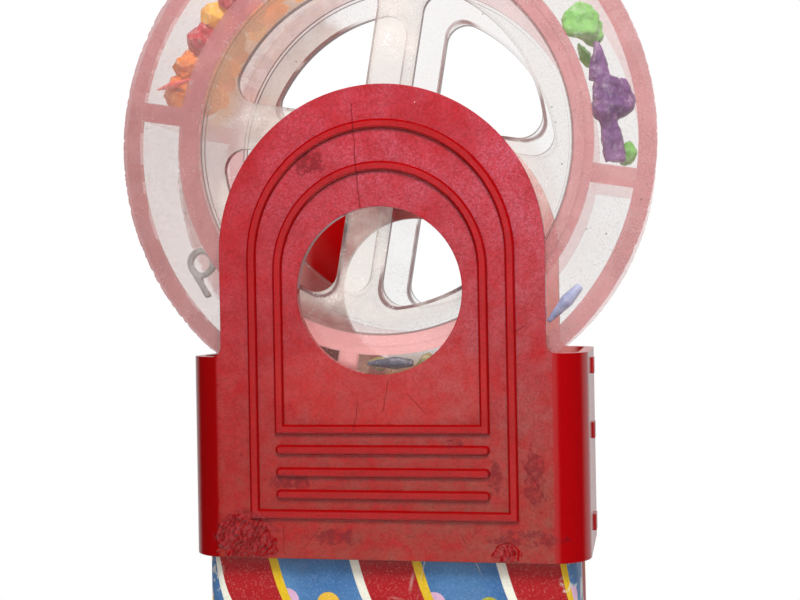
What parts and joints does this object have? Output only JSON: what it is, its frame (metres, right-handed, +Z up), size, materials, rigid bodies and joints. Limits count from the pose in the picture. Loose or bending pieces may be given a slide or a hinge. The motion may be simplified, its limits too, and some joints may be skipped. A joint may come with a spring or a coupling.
{
  "type": "toy gumball machine",
  "caption": "Toy gumball machine: a clear drum wheel of charms turns between two red arched plates whose sleeve slips over a printed card carton with an outlet flap.",
  "frame": {"origin": "middle of the carton's foot, on the surface it stands on", "axes": "+Z up, -Y towards the front arch, +X to the right seen from the front"},
  "size_m": [0.0998, 0.0382, 0.1856],
  "materials": {
    "card": "printed, creased",
    "gumball": "glossy sugar shell",
    "red_plastic": "moulded, scuffed",
    "steel": "drawn",
    "clear_plastic": "clear, dusty",
    "pink_clear_plastic": "clear, faint pink",
    "orange_stones": "gloss",
    "red_stones": "gloss",
    "yellow_stones": "gloss",
    "pink_sliver": "gloss",
    "light_green_beads": "gloss",
    "dark_green_bead": "gloss",
    "purple_charm": "gloss",
    "grey_ring_charm": "gloss",
    "blue_batons": "gloss",
    "olive_beads": "gloss"
  },
  "bodies": {
    "base": {"carton_wall": "card", "carton_floor": "card", "gumballs": "gumball"},
    "flap": {"outlet_flap": "card"},
    "yoke": {"front_shell": "red_plastic", "rear_shell": "red_plastic", "axle": "steel"},
    "wheel": {"wheel_front_disc": "clear_plastic", "wheel_rear_disc": "clear_plastic", "outer_rim": "pink_clear_plastic", "inner_ring": "pink_clear_plastic", "dividers": "pink_clear_plastic", "hub_tube": "pink_clear_plastic", "orange_stones": "orange_stones", "red_stones": "red_stones", "yellow_stones": "yellow_stones", "pink_sliver": "pink_sliver", "light_green_beads": "light_green_beads", "dark_green_bead": "dark_green_bead", "purple_charm": "purple_charm", "grey_ring_charm": "grey_ring_charm", "blue_batons": "blue_batons", "olive_beads": "olive_beads"}
  },
  "joints": [
    {"name": "top_lift", "type": "slide", "parent": "base", "child": "yoke", "axis": [0, 0, 1], "range_m": [0, 0.02]},
    {"name": "wheel_spin", "type": "hinge", "parent": "yoke", "child": "wheel", "pos_m": [0, 0, 0.13565], "axis": [0, 1, 0], "continuous": true},
    {"name": "flap_fold", "type": "hinge", "parent": "base", "child": "flap", "pos_m": [0, -0.0161, 0.006], "axis": [1, 0, 0], "range_deg": [0, 80]}
  ]
}
